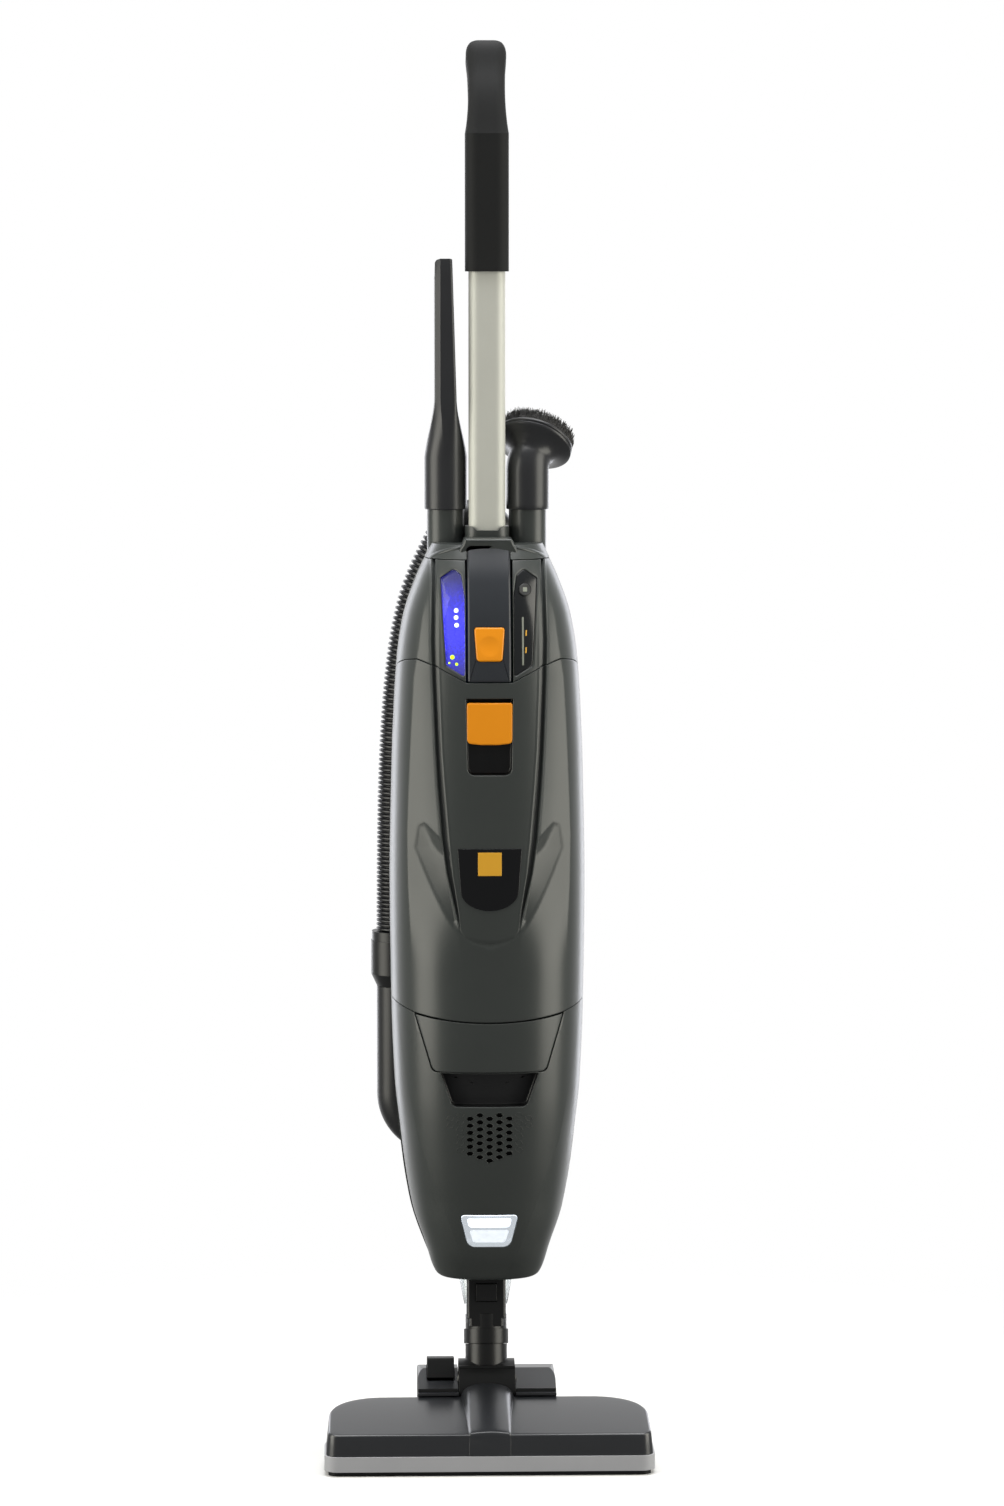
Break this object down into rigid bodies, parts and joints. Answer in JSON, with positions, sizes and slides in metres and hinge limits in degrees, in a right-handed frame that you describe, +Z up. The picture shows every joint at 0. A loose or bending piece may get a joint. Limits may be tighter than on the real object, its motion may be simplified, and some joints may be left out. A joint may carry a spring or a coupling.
{
  "type": "upright vacuum cleaner",
  "caption": "Upright vacuum cleaner: floor nozzle on a tilting, swivelling neck, slim body with bag door, hose, tube handle and tools on posts.",
  "frame": {"origin": "on the floor, at the middle of the nozzle's width, on the sole plate's lower face", "axes": "+Z up, -Y towards the front of the machine, +X to the right of someone who faces the front"},
  "size_m": [0.282, 0.1845, 1.2165],
  "materials": {
    "shell_grey": "glossy graphite grey",
    "nozzle_grey": "satin mid grey",
    "bumper_grey": "soft light grey",
    "black_plastic": "fine-textured black",
    "dark_plastic": "matte dark grey",
    "duct_black": "smooth black",
    "cuff_black": "satin black",
    "hose_grey": "ribbed stretch hose, dark grey",
    "tool_black": "satin dark grey",
    "grip_black": "satin near black",
    "sleeve_grey": "semi-gloss dark grey",
    "panel_black": "glossy dark panel",
    "orange": "smooth orange",
    "badge_black": "glossy black, bare",
    "window_blue": "blue-lit clear window",
    "window_dark": "dark display window",
    "clear_plastic": "clear",
    "lens_clear": "clear, frosted ribs",
    "lamp_white": "lit white lamp",
    "lamp_green": "lit green lamp",
    "mark_grey": "plain light marks",
    "tube_aluminium": "satin anodised",
    "aluminium": "pressed",
    "steel": "plain",
    "iron": "laminated core",
    "copper": "enamelled windings",
    "wheel_rubber": "black",
    "seal_rubber": "black",
    "bristle": "stiff bristle",
    "bag_paper": "filter paper",
    "bag_card": "card collar",
    "filter_white": "pleated filter",
    "foam_grey": "foam",
    "board_green": "printed board"
  },
  "bodies": {
    "nozzle": {"nozzle_hood": "nozzle_grey", "nozzle_bumper": "bumper_grey", "sole_plate": "black_plastic", "intake_channel": "black_plastic", "hinge_saddle": "black_plastic", "wheel_carrier": "black_plastic", "wheel_axles": "steel"},
    "wheel_left": {"rear_wheel_left": "wheel_rubber"},
    "wheel_right": {"rear_wheel_right": "wheel_rubber"},
    "pedal": {"nozzle_pedal": "black_plastic"},
    "brush_lift": {"brush_carriage": "dark_plastic", "brush_strips": "bristle"},
    "knuckle": {"knuckle": "black_plastic"},
    "housing": {"swivel_collar": "black_plastic", "neck_pipe": "black_plastic", "clear_elbow": "clear_plastic", "lower_duct": "duct_black", "stretch_hose": "hose_grey", "hose_elbow": "cuff_black", "rear_housing": "shell_grey", "housing_screws": "steel", "motor_housing": "shell_grey", "exhaust_filter": "filter_white", "headlight_lens": "lens_clear", "headlight_board": "board_green", "door_seal": "seal_rubber", "dust_bag": "bag_paper", "bag_plate": "bag_card", "motor_filter": "foam_grey", "fan_housing": "aluminium", "motor_casing": "dark_plastic", "motor_bearings": "steel", "stator": "iron", "motor_mounts": "seal_rubber", "head_cover": "shell_grey", "control_panel": "panel_black", "light_window": "window_blue", "display_window": "window_dark", "power_switch": "black_plastic", "control_board": "board_green", "tool_holder": "shell_grey", "handle_tube": "tube_aluminium", "handle_grip": "grip_black", "cable_hook_lower": "black_plastic", "cable_gland": "seal_rubber"},
    "neck_latch": {"neck_latch": "dark_plastic"},
    "rotor": {"armature": "iron", "impeller": "aluminium"},
    "bag_door": {"bag_door": "shell_grey", "badge_plate": "badge_black"},
    "door_latch": {"door_latch": "orange"},
    "filter_cover": {"exhaust_filter_cover": "shell_grey"},
    "power_button": {"power_button": "orange"},
    "round_button": {"round_button": "dark_plastic"},
    "crevice_tool": {"crevice_tool": "tool_black"},
    "dusting_brush": {"dusting_brush": "tool_black", "dusting_bristles": "bristle"},
    "hose_cuff": {"hose_cuff": "cuff_black"},
    "cable_hook": {"cable_hook_upper": "black_plastic"}
  },
  "joints": [
    {"name": "wheel_left_spin", "type": "hinge", "parent": "nozzle", "child": "wheel_left", "pos_m": [-0.043, 0.052, 0.012], "axis": [1, 0, 0], "continuous": true},
    {"name": "wheel_right_spin", "type": "hinge", "parent": "nozzle", "child": "wheel_right", "pos_m": [0.043, 0.052, 0.012], "axis": [1, 0, 0], "continuous": true},
    {"name": "pedal_press", "type": "hinge", "parent": "nozzle", "child": "pedal", "pos_m": [-0.04, 0.05, 0.0625], "axis": [1, 0, 0], "range_deg": [0, 6]},
    {"name": "brush_lower", "type": "slide", "parent": "nozzle", "child": "brush_lift", "axis": [0, 0, -1], "range_m": [0, 0.0046]},
    {"name": "recline", "type": "hinge", "parent": "nozzle", "child": "knuckle", "pos_m": [0, 0.025, 0.051], "axis": [-1, 0, 0], "range_deg": [0, 70]},
    {"name": "swivel", "type": "hinge", "parent": "knuckle", "child": "housing", "pos_m": [0, 0.025, 0.051], "axis": [0, 0.2079, 0.9781], "range_deg": [-60, 60]},
    {"name": "motor_spin", "type": "hinge", "parent": "housing", "child": "rotor", "pos_m": [0, -0.012, 0.205], "axis": [0, 0, 1], "continuous": true},
    {"name": "bag_door_open", "type": "hinge", "parent": "housing", "child": "bag_door", "pos_m": [0, -0.0883, 0.3879], "axis": [1, 0, 0], "range_deg": [0, 75]},
    {"name": "door_latch_lift", "type": "hinge", "parent": "bag_door", "child": "door_latch", "pos_m": [0, -0.08298, 0.6554], "axis": [-1, 0, 0], "range_deg": [0, 25], "stiffness_Nm_per_rad": 0.08},
    {"name": "filter_cover_off", "type": "slide", "parent": "housing", "child": "filter_cover", "axis": [0, -1, 0], "range_m": [0, 0.03]},
    {"name": "power_press", "type": "slide", "parent": "housing", "child": "power_button", "axis": [0, 1, 0], "range_m": [0, 0.0025], "stiffness_N_per_m": 600},
    {"name": "round_press", "type": "slide", "parent": "housing", "child": "round_button", "axis": [0, 1, 0], "range_m": [0, 0.001], "stiffness_N_per_m": 400},
    {"name": "neck_latch_press", "type": "slide", "parent": "housing", "child": "neck_latch", "axis": [0, 0.9781, -0.2079], "range_m": [0, 0.002], "stiffness_N_per_m": 600},
    {"name": "crevice_tool_lift", "type": "slide", "parent": "housing", "child": "crevice_tool", "axis": [0, 0, 1], "range_m": [0, 0.04]},
    {"name": "dusting_brush_lift", "type": "slide", "parent": "housing", "child": "dusting_brush", "axis": [0, 0, 1], "range_m": [0, 0.04]},
    {"name": "cuff_swivel", "type": "hinge", "parent": "housing", "child": "hose_cuff", "pos_m": [-0.076, 0.062, 0.4], "axis": [0, 0, 1], "continuous": true},
    {"name": "cable_hook_turn", "type": "hinge", "parent": "housing", "child": "cable_hook", "pos_m": [0, 0.016, 1.062], "axis": [0, 1, 0], "range_deg": [0, 180]}
  ],
  "couplings": [
    {"joint": "brush_lower", "follows": "pedal_press", "m_per_rad": 0.042972}
  ]
}
